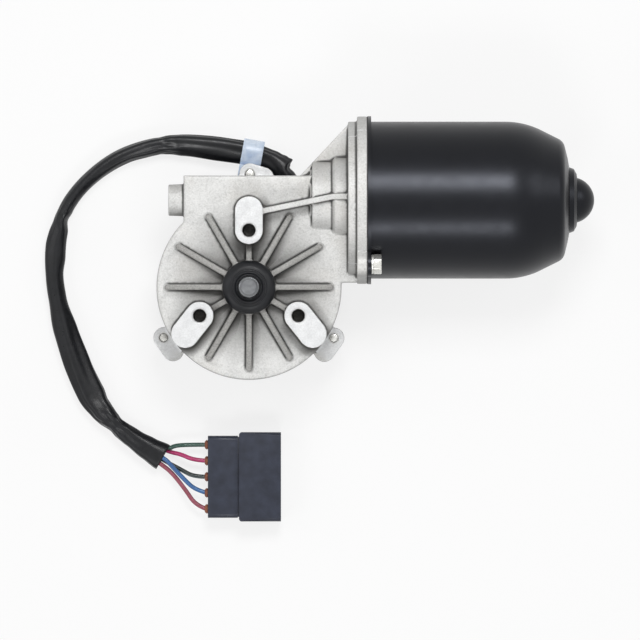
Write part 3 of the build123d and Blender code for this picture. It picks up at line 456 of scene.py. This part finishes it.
floor_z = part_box("connector_housing")[0].z
floor_mm = floor_z / MM
sleeve_radius = 5.25
laid = floor_mm + sleeve_radius
exit_height = floor_mm + 8.5
clip_height = floor_mm + 6.85
wire_height = floor_mm + 7.0
sleeve_route = [
    (21.5, 55.4, exit_height),
    (16.0, 64.8, exit_height),
    (7.0, 69.9, clip_height),
    (-12.5, 73.5, clip_height),
    (-45.0, 76.7, laid),
    (-74.0, 68.0, laid),
    (-98.3, 44.5, laid),
    (-104.5, 12.2, laid),
    (-99.9, -17.2, laid),
    (-89.6, -45.6, laid),
    (-75.2, -73.2, laid),
    (-45.8, -90.0, laid),
]
mouth = Vector(sleeve_route[-1])
mouth_way = (mouth - Vector(sleeve_route[-2])).normalized()
mouth_side = Vector((-mouth_way.y, mouth_way.x, 0))
bore_depth = 12.0  # of the sleeve's open end
wire_radius = 1.15
wire_end = -22.6  # in the seals
row_pitch = 8.5
rows = [-100.4 + row_pitch * place for place in (2, 1, 0, -1, -2)]  # where the wires enter the connector, along y


def in_sleeve(along, side, up):
    """A point beside the sleeve's axis, measured from its mouth."""
    return tuple(mouth + mouth_way * along + mouth_side * side + Vector((0, 0, up)))


wire_routes = {
    "wire_green": [
        in_sleeve(-bore_depth, 3.6, 0.5),
        in_sleeve(0.6, 5.2, 0.5),
        (-39.8, -83.9, wire_height - 0.6),
        (-32.0, rows[0], wire_height),
        (wire_end, rows[0], wire_height),
    ],
    "wire_red": [
        in_sleeve(-bore_depth, 2.2, -2.4),
        in_sleeve(1, 3.8, -2.4),
        (-36.5, -88.4, wire_height - 1.6),
        (-29.5, rows[1] + 0.3, wire_height),
        (wire_end, rows[1], wire_height),
    ],
    "wire_black": [
        in_sleeve(-bore_depth, -1.4, -2.4),
        in_sleeve(0.5, -1.4, -2.4),
        (-36.5, -96.5, wire_height - 2.2),
        (-29.5, rows[2], wire_height),
        (wire_end, rows[2], wire_height),
    ],
    "wire_blue": [
        in_sleeve(-bore_depth, 0, 2.5),
        in_sleeve(1, 0, 2.5),
        (-41.3, -94.6, wire_height + 0.8),
        (-34.6, -101.8, wire_height + 0.2),
        (-28.9, -107.2, wire_height),
        (wire_end - 0.2, rows[3], wire_height),
    ],
    "wire_brown": [
        in_sleeve(-bore_depth, -2.4, 0.5),
        in_sleeve(1, -3.8, 0.5),
        (-41.3, -98.0, wire_height - 1.2),
        (-34.0, -107.2, wire_height - 0.6),
        (-28.6, -115.4, wire_height),
        (wire_end - 0.4, rows[4], wire_height),
    ],
}


def smooth_line(name, route, fineness):
    """Points in metres along one NURBS line that has the route's points as its control points."""
    curve = bpy.data.curves.new(name, "CURVE")
    curve.dimensions = "3D"
    curve.resolution_u = fineness
    spline = curve.splines.new("NURBS")
    spline.points.add(len(route) - 1)
    for held, place in zip(spline.points, route):
        held.co = (place[0] * MM, place[1] * MM, place[2] * MM, 1)
    spline.order_u = 3
    spline.use_endpoint_u = True
    holder = bpy.data.objects.new(name, curve)
    scene_objects.link(holder)
    depsgraph = bpy.context.evaluated_depsgraph_get()
    mesh = bpy.data.meshes.new_from_object(holder.evaluated_get(depsgraph))
    line = [v.co.copy() for v in mesh.vertices]
    bpy.data.objects.remove(holder)
    bpy.data.curves.remove(curve)
    return line


def frames_along(line):
    """(place, level side, up, distance run) at each point of a line."""
    run = 0
    found = []
    for i, place in enumerate(line):
        before = line[max(i - 1, 0)]
        after = line[min(i + 1, len(line) - 1)]
        way = (after - before).normalized()
        side = Vector((-way.y, way.x, 0)).normalized()
        found.append((place, side, way.cross(side), run))
        if i + 1 < len(line):
            run += (line[i + 1] - place).length
    return found


def eased(value, table):
    """value's size in a table of (place, size) rows, eased between the rows."""
    for (a, low), (b, high) in zip(table, table[1:]):
        if value <= b:
            share = max(0.0, (value - a) / (b - a))
            share = share * share * (3 - 2 * share)
            return low + (high - low) * share
    return table[-1][1]


# The loose sleeve along its run, seen from above: its half width on the outer side of its sweep, that on the inner
# side, and how far its top stands over the middle
sleeve_outer = [(0, 5.2), (3, 4.8), (6.5, 4.0), (7.6, 5.2), (8.8, 7.9), (11, 6.9), (14, 5.7), (18, 5.2), (34, 6.2),
                (44, 6.3), (64, 5.6), (76, 4.9), (94, 4.4), (134, 4.0), (146, 4.4), (158, 5.8), (174, 5.0),
                (186, 5.2), (204, 6.5), (224, 7.1), (240, 7.4), (250, 6.0), (260, 4.4), (272, 5.4), (282, 6.5),
                (291, 7.4)]
sleeve_inner = [(0, 5.2), (6, 5.6), (14, 6.0), (24, 6.4), (44, 6.5), (64, 5.6), (72, 4.3), (84, 4.6), (94, 4.1),
                (138, 3.8), (143, 2.9), (150, 5.0), (164, 5.5), (174, 4.4), (186, 4.7), (204, 6.4), (224, 7.1),
                (240, 7.6), (248, 6.6), (258, 4.9), (262, 4.2), (274, 5.2), (283, 6.2), (291, 7.2)]
sleeve_tops = [(0, 5.0), (40, 4.2), (64, 5.2), (139, 5.8), (150, 5.0), (168, 5.4), (205, 4.4), (240, 4.4), (256, 5.6),
               (276, 4.6), (300, 4.4)]
sleeve_crumples = [(72, 6, 0.5), (143, 8, 0.7), (258, 9, 0.8)]  # place along the run, reach and depth
sleeve_folds = [(0.0, 1.0, 0.42), (1.25, 0.5, 0.3), (-1.0, 0.5, 0.3)]  # lengthwise: turn from the first, depth, width


def sleeve_surface(run, angle):
    """(side, up) of the sleeve's skin in millimetres at a distance along it and an angle round it."""
    wander_length, swell_length = 37, 31  # over which the folds move round the sleeve, and grow and shrink
    lip_place, lip_share = 2.1, 0.3  # of a fold's two lips: their place in widths, and their height against its depth
    noise_radius = 1.4
    lump_length, lump_height = 24, 0.5
    crease_length, crease_middle = 8, 0.55
    plain_start = 6  # the sleeve is smooth where it leaves the grommet
    half = eased(run, sleeve_inner if math.cos(angle) > 0 else sleeve_outer)
    top = eased(run, sleeve_tops)
    side = half * math.cos(angle)
    up = math.sin(angle) * (top if math.sin(angle) > 0 else sleeve_radius)
    first_fold = 1.15 + 0.5 * math.sin(run / wander_length)
    dent = 0.0
    for turn, depth, width in sleeve_folds:
        fold = first_fold + turn
        gap = math.atan2(math.sin(angle - fold), math.cos(angle - fold))
        lips = math.exp(-((abs(gap) - lip_place * width) / width) ** 2)
        dent += depth * math.exp(-(gap / width) ** 2) - lip_share * depth * lips
    crumple = sum(depth * math.exp(-((run - place) / reach) ** 2) for place, reach, depth in sleeve_crumples)
    across = Vector((noise_radius * math.cos(angle), noise_radius * math.sin(angle), 0))
    lump = noise.noise(across + Vector((0, 0, run / lump_length)))
    crease = 1 - abs(2 * noise.noise(across * 1.1 + Vector((3, 1, run / crease_length))))
    swell = 0.6 + 0.4 * math.sin(run / swell_length)
    inset = dent * swell - lump_height * lump + crumple * (crease - crease_middle)
    ease = min(1.0, run / plain_start)
    keep = 1 - ease * inset / max(half, top)
    return side * keep, max(up * keep, -sleeve_radius)


def sleeve_piece():
    """The sleeve from the grommet to its mouth, and back inside it as the bore in which the wires begin."""
    line = smooth_line("sleeve_line", sleeve_route, 48)
    stations = frames_along(line)
    total = stations[-1][3] / MM
    around = 72
    wall = 0.9
    bore = [station for station in stations if station[3] / MM > total - bore_depth]
    vertices = []
    for rings, inset in ((stations, 0.0), (bore[::-1], wall)):
        for place, side, up, run in rings:
            for j in range(around):
                across, height = sleeve_surface(run / MM, 2 * math.pi * j / around)
                size = math.hypot(across, height)
                keep = (size - inset) / size
                vertices.append(place + side * across * keep * MM + up * height * keep * MM)
    faces = ring_faces(len(stations) + len(bore), around)
    made = mesh_piece("sleeve_tube", vertices, faces, "black_vinyl")
    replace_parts(made, "wiring_sleeve")
    return made


def strap_piece():
    """The nylon strap: a squarish loop round the sleeve whose tongue runs to the lug."""
    place = 5.6  # from the route's third point back along its run
    width = 11.0
    thick = 1.1
    tongue_reach = 14.4
    tongue_height = -51.5  # of its top, under the cover's flange
    loop_half, loop_top, loop_bottom, loop_power, loop_steps = 6.9, 5.5, 5.9, 2.4, 60
    third, fourth = Vector(sleeve_route[2]), Vector(sleeve_route[3])
    way = (third - fourth).normalized()
    side = Vector((-way.y, way.x, 0))
    centre = third - way * place
    foot = tongue_height - clip_height - thick / 2
    path = [(-tongue_reach, foot), (-11.5, foot), (-9.0, foot)]
    path += [(-7.9 - 1.1 * math.sin(a), foot - 1.3 + 1.3 * math.cos(a)) for a in (-0.5, -1.0)]
    path += [(-7.1, foot - 2.4), (-7.0, 6.0), (-7.0, 3.0)]
    for i in range(1, loop_steps):
        angle = math.pi - 2 * math.pi * i / loop_steps
        up = loop_top if math.sin(angle) > 0 else loop_bottom
        bulge = (abs(math.cos(angle)) ** loop_power + abs(math.sin(angle)) ** loop_power) ** (-1 / loop_power)
        path.append((loop_half * bulge * math.cos(angle), up * bulge * math.sin(angle)))
    path.append((-6.95, 1.2))
    edges = (-1, -0.5, 0, 0.5, 1)
    vertices = []
    for across, height in path:
        middle = centre + side * across + Vector((0, 0, height))
        for edge in edges:
            vertices.append((middle + way * edge * width / 2) * MM)
    count = len(edges)
    faces = [(i * count + j, i * count + j + 1, (i + 1) * count + j + 1, (i + 1) * count + j)
             for i in range(len(path) - 1) for j in range(count - 1)]
    mesh = bpy.data.meshes.new("strap_loop")
    mesh.from_pydata(vertices, [], faces)
    made = bpy.data.objects.new("strap_loop", mesh)
    baked(made, ("SOLIDIFY", {"thickness": thick * MM, "offset": 0}), rounding(0.25 * MM, 50))
    show(made, "clear_nylon", smooth=False)
    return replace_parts(made, "cable_clip")


def wire_piece(node, route):
    """One wire from inside the sleeve's mouth to its seal, the black one with a grey stripe."""
    line = smooth_line(node + "_line", route, 20)
    around = 20
    stripe_place = 7
    vertices = []
    for place, side, up, _ in frames_along(line):
        for j in range(around):
            angle = 2 * math.pi * j / around
            vertices.append(place + (side * math.cos(angle) + up * math.sin(angle)) * wire_radius * MM)
    made = mesh_piece(node + "_lead", vertices, ring_faces(len(line), around), node)
    if node == "wire_black":
        made.data.materials.append(stripe_grey)
        for polygon in made.data.polygons[:-2]:  # all but the two ends
            if polygon.index % around == stripe_place:
                polygon.material_index = 1
    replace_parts(made, node)
    return made


def connector_piece():
    """The moulded housing, with its long corners rounded and a groove before its hood."""
    low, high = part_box("connector_housing")
    corner_round = 2.2 * MM
    groove_width = 0.7 * MM
    groove_x = low.x + 16.5 * MM - groove_width / 2
    top_cut_height = 2.2 * MM
    top_cut_middle = high.z - 1.5 * MM
    side_cut_depth = 2.4 * MM
    made = copy_of("connector_housing", "connector_shell")
    work = whole_faces(made)
    long_corners = []
    for edge in work.edges:
        a, b = (v.co for v in edge.verts)
        outer = min(abs(a.y - low.y), abs(a.y - high.y)) < corner_round
        if abs(a.y - b.y) + abs(a.z - b.z) < 0.01 * MM and outer and edge.is_convex and edge.calc_length() > 8 * MM:
            long_corners.append(edge)
    bmesh.ops.bevel(work, geom=long_corners, offset=corner_round, segments=7, profile=0.5, affect="EDGES")
    work.to_mesh(made.data)
    work.free()
    middle = (low + high) / 2
    size = high - low
    cutter = bmesh.new()
    cut_box(cutter, (groove_x, low.y, middle.z), (groove_width, 2 * side_cut_depth, 2 * size.z))
    cut_box(cutter, (groove_x, middle.y, top_cut_middle), (groove_width, 1.8 * size.y, top_cut_height))
    cut_box(cutter, (groove_x, high.y, middle.z), (groove_width, 2 * side_cut_depth, 2 * size.z))
    grooves =cutter_from(cutter, "groove_cut")
    baked(made, cutting(grooves, overlaps=True), rounding(0.3 * MM, 40))
    bpy.data.objects.remove(grooves)
    show(made, "grey_plastic", smooth=False)
    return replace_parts(made, "connector_housing")


def seals_piece():
    """Ribbed wire seals in the back of the connector."""
    back = Vector((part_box("connector_housing")[0].x, 0, 0))
    outline = [(0.6, 2.3), (0.2, 2.7), (-0.2, 2.3), (-0.6, 2.65), (-1.0, 2.3), (-1.4, 2.1), (-1.7, 1.6), (-1.75, 1.1)]
    stand_outs = (1.0, 0.7, 0.95, 0.45, 0.35)  # how far each is pushed out, against the outline
    around = 28
    vertices = []
    faces = []
    for row, stand_out in zip(rows, stand_outs):
        faces += ring_faces(len(outline), around, len(vertices), far_end=False)
        for along, radius in outline:
            along = min(along, along * stand_out)
            for j in range(around):
                angle = 2 * math.pi * j / around
                vertices.append(back + point(along, row + radius * math.cos(angle),
                                             wire_height + radius * math.sin(angle)))
    made = mesh_piece("seal_plugs", vertices, faces, "seal_brown")
    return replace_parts(made, "connector_seals")


connector_piece()
seals_piece()

softened("can_screws", "flange_screws", 0.3 * MM)
softened("can_washers", "flange_washers", 0.25 * MM)
softened("cover_screws", "cover_screw_set", 0.3 * MM)
softened("rear_cover", "cover_moulding", 0.5 * MM)

sleeve_piece()
strap_piece()
for wire, length in (("wire_green", 0.0331), ("wire_red", 0.0346), ("wire_black", 0.0382), ("wire_blue", 0.0431),
                     ("wire_brown", 0.0481)):
    wire_piece(wire, wire_routes[wire])


# Gear housing: the casting with the soft corners of a die

def mark_creases(mesh, rounds):
    """Stores on each vertex how far, in millimetres, a smoothed surface lies above it: above 0 in a crease, below
    0 on an edge. It masks the painted shade in creases, and creases that turn away from the light count for more."""
    light_way = np.array([-0.7, 0.7])
    light_share = 0.55
    count = len(mesh.vertices)
    places = np.empty(count * 3)
    mesh.vertices.foreach_get("co", places)
    places = places.reshape(count, 3) / MM
    ends = np.empty(len(mesh.edges) * 2, dtype=int)
    mesh.edges.foreach_get("vertices", ends)
    ends = ends.reshape(-1, 2)
    both = np.concatenate([ends, ends[:, ::-1]])
    number = np.maximum(np.bincount(both[:, 0], minlength=count), 1)[:, None]
    smooth = places.copy()
    for _ in range(rounds):
        sums = [np.bincount(both[:, 0], weights=smooth[both[:, 1], k], minlength=count) for k in range(3)]
        smooth = np.stack(sums, axis=1) / number
    normals = np.empty(count * 3)
    mesh.vertex_normals.foreach_get("vector", normals)
    rise = ((smooth - places) * normals.reshape(count, 3)).sum(axis=1)
    rise += light_share * np.maximum((smooth - places)[:, :2] @ light_way, 0)
    layer = mesh.attributes.new("crease", "FLOAT", "POINT")
    layer.data.foreach_set("value", rise.astype(np.float32))


def mark_places(mesh):
    """Stores on each vertex whether it was milled (the mounting faces and their holes' mouths) or, as painted light,
    gets the milled colour though it lies in shade (the lugs' tops), whether it is sunk in the dish or is dull as the
    ribs' tops are, and adds painted shade to the creases round the screws in the lugs."""
    milled_and_lug_light, sunk, dull = (mesh.attributes.new(name, "FLOAT", "POINT").data for name in ("milled_and_lug_light", "sunk", "dull"))
    creases = mesh.attributes["crease"].data
    face_top, face_bottom = 0.2, -0.22
    mouth_outer, mouth_inner, mouth_bottom = 4.6, 4.2, -1.0
    lug_top, lug_bottom, ring_bottom = -41, -44, -43.5
    screw_ring = 2.75
    lug_inner, lug_outer = 3.0, 12
    wall_radius = 46.2
    dish_radius, dish_top = 45.5, -9.5
    rib_slack = 0.7
    for i, vertex in enumerate(mesh.vertices):
        x, y, z = vertex.co / MM
        away = math.hypot(x, y)
        lug_away = nearest(x, y, lug_places)
        mouth_away = nearest(x, y, hole_places)
        # painted shade in the gap round each screw in the lugs
        if ring_bottom < z < lug_top and lug_away < screw_ring:
            creases[i].value += 0.3
        milled_and_lug_light[i].value = float(face_bottom < z < face_top)
        if mouth_away < mouth_outer and mouth_bottom < z < face_top:
            milled_and_lug_light[i].value = 0.6 if mouth_away > mouth_inner else 0.9
        on_lug = lug_bottom < z < lug_top and lug_inner < lug_away < lug_outer and away > wall_radius
        # painted light: the lugs' tops lie in the housing's shade and get the milled faces' bright colour
        if on_lug and vertex.normal.z > 0.4:
            milled_and_lug_light[i].value = 1.0
        sunk[i].value = float(away < dish_radius and z < dish_top)
        rib_top = rib_tops[0] + (rib_tops[1] - rib_tops[0]) * (away - rib_start) / rib_fall_run
        on_rib = rib_start < away < rib_end and abs(z - rib_top) < rib_slack
        dull[i].value = float(on_rib and vertex.normal.z > 0.5)


def housing_piece():
    """One skin over the casting, with chamfered holes and a small groove in its bent rib."""
    cone_bottom, cone_top = 2.6 * MM, 4.9 * MM  # radii of the cones that chamfer the holes
    cone_height = 2.3 * MM
    cone_middle = -0.45
    groove_place = (28, 48.3, -11)
    groove_size = (0.9, 4.6, 0.9)
    voxel = 0.42 * MM
    hole_radius = 3.75
    hole_bottom, hole_top = -13.2, -0.7
    made = copy_of("gear_housing", "housing_casting")
    cutter = bmesh.new()
    for x, y in hole_places:
        bmesh.ops.create_cone(cutter, cap_ends=True, segments=48, radius1=cone_bottom, radius2=cone_top,
                              depth=cone_height, matrix=Matrix.Translation(point(x, y, cone_middle)))
    cut_box(cutter, point(*groove_place), point(*groove_size))
    cones = cutter_from(cutter, "mouth_cones")
    baked(made, cutting(cones), ("REMESH", {"mode": "VOXEL", "voxel_size": voxel}),
          ("SMOOTH", {"factor": 0.5, "iterations": 6}))
    mark_creases(made.data, 14)
    baked(made, ("DECIMATE", {"ratio": 0.3}))
    bpy.data.objects.remove(cones)
    show(made, "cast_aluminium")
    # the walls of the mounting holes get the dark colour as painted shade
    made.data.materials.append(hole_painted_shade)
    for polygon in made.data.polygons:
        x, y, z = polygon.center / MM
        if hole_bottom < z < hole_top and nearest(x, y, hole_places) < hole_radius:
            polygon.material_index = 1
    mark_places(made.data)
    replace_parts(made, "gear_housing")
    return made


housing_piece()


# Output shaft with its thread and serrations, and the rubber boot round it

def output_shaft_piece():
    """The shaft in millimetres: a plain journal, a serrated cone from 3 to 11 and a thread above it."""
    around = 144
    journal_radius, foot_radius = 6.0, 5.4
    cone_start, cone_end = 3, 11
    serrations, serration_depth, cone_fall = 36, 0.55, 0.7
    thread_radius, thread_depth, thread_pitch = 4.98, 0.68, 1.25
    tip_start = 22.9  # of the chamfer
    heights = [-35.8, -35.0, -6.0, 2.6]
    heights += [cone_start + 0.4 * i for i in range(21)]
    heights += [cone_end + 0.2 + thread_pitch / 10 * i for i in range(97)]
    heights += [23.6, 24.0]
    vertices = []
    for height in heights:
        for j in range(around):
            angle = 2 * math.pi * j / around
            if height < cone_start:
                radius = journal_radius if height > -35.5 else foot_radius
            elif height <= cone_end:
                share = (height - cone_start) / (cone_end - cone_start)
                tooth = abs((j * serrations / around) % 1 - 0.5) * 2
                cut = min(1.0, 4 * share, 8 * (1.02 - share))
                radius = journal_radius - cone_fall * share - serration_depth * tooth * cut
            else:
                turn = (height / thread_pitch + j / around) % 1
                groove = min(1.0, 1.35 * abs(2 * turn - 1))
                radius = thread_radius - thread_depth * groove * min(1.0, (height - cone_end) / 0.8)
                radius = min(radius, thread_radius - max(0.0, height - tip_start))
            vertices.append(point(radius * math.cos(angle), radius * math.sin(angle), height))
    made = mesh_piece("output_spindle", vertices, ring_faces(len(heights), around), "steel", "output", smooth=False)
    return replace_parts(made, "output_shaft")


def boot_piece():
    """The rubber boot, its outline going up the outside and back down by the shaft."""
    outline =[(11.0, -7.0), (13.6, -7.0), (14.0, -6.7), (14.1, -6.2), (14.1, -4.6), (13.9, -3.4), (13.3, -2.2),
               (12.3, -1.2), (11.0, -0.5), (10.1, -0.25), (9.7, -0.35), (9.5, -0.15), (9.35, 0.2), (8.95, 0.3),
               (8.65, 0.15), (8.5, 0.3), (8.45, 1.3), (8.25, 1.7), (7.8, 1.8), (7.3, 1.6), (7.0, 1.1), (6.75, 0.95),
               (6.5, 1.15), (6.3, 1.1), (6.2, 0.8), (6.3, 0.5), (7.2, 0.4), (8.6, -0.9), (11.0, -2.6)]
    made = turned("dust_boot", outline, "black_rubber", 120)
    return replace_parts(made, "shaft_boot")


output_shaft_piece()
boot_piece()


# Camera, floor and light

picture = 640
scale = 1.9  # picture pixels per millimetre on the object
shaft_pixel = (248.9, 287.2)  # where the output shaft's axis shows
camera_height = 8.0
camera_x = (picture / 2 - shaft_pixel[0]) / scale * MM
camera_y = (shaft_pixel[1] - picture / 2) / scale * MM
view_width = picture / scale * MM
sensor_width = 36

camera_data = bpy.data.cameras.new("camera")
camera_data.sensor_width = sensor_width
camera_data.lens = sensor_width * camera_height / view_width
camera_data.clip_end = 50
camera = bpy.data.objects.new("camera", camera_data)
camera.location = (camera_x, camera_y, camera_height)
scene_objects.link(camera)
bpy.context.scene.camera = camera


def floor_piece():
    """A white floor that keeps the object's shadow."""
    half = 6.0
    glow_share = 0.82  # of the floor that white_rays see
    mesh = bpy.data.meshes.new("floor")
    mesh.from_pydata([(-half, -half, 0), (half, -half, 0), (half, half, 0), (-half, half, 0)], [], [(0, 1, 2, 3)])
    made = bpy.data.objects.new("floor", mesh)
    made.location.z = floor_z - 0.2 * MM
    scene_objects.link(made)
    n = Surface("floor")
    n.set(Base_Color=srgb("FAFAFA"), Roughness=0.9)
    glow = n.add("ShaderNodeEmission", {"Color": srgb("FEFEFE"), "Strength": 0.98})
    both = n.add("ShaderNodeMixShader", {0: n.times(n.white_rays(), glow_share), 1: n.shader.outputs[0],
                                         2: glow.outputs[0]})
    n.put(n.tree.nodes["Material Output"].inputs["Surface"], both.outputs[0])
    mesh.materials.append(n.owner)
    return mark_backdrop(made)


floor_piece()

object_middle = (0.06, 0, -0.02)
can_middle = (0.15, 0.046, -0.02)


def area_light(name, place, size, power, aim=object_middle):
    data = bpy.data.lights.new(name, "AREA")
    data.shape = "RECTANGLE"
    data.size, data.size_y = size
    data.energy = power
    made = bpy.data.objects.new(name, data)
    made.location = place
    made.rotation_euler = (Vector(aim) - Vector(place)).to_track_quat("-Z", "Y").to_euler()
    scene_objects.link(made)


area_light("upper_box", (0.12, 0.7, 1.28), (0.54, 0.44), 12)
area_light("fill_box", (-1.1, -0.95, 1.2), (0.8, 0.8), 5)
area_light("right_box", (1.25, 0.62, 0.95), (0.7, 0.7), 3.6, can_middle)
area_light("lower_box", (0.12, -0.92, 1.08), (0.5, 0.32), 5)
area_light("left_box", (-1.2, 0.3, 0.9), (0.5, 1.2), 3)

world = bpy.data.worlds.new("studio")
bpy.context.scene.world = world
world_strength = 0.2  # for the rays that light the object
sky = Nodes(world, "Background")
sky.set(Color=(1, 1, 1, 1), Strength=sky.ramp(sky.white_rays(), 0, 1, world_strength, 1.0))

bpy.context.scene.view_settings.view_transform = "Standard"
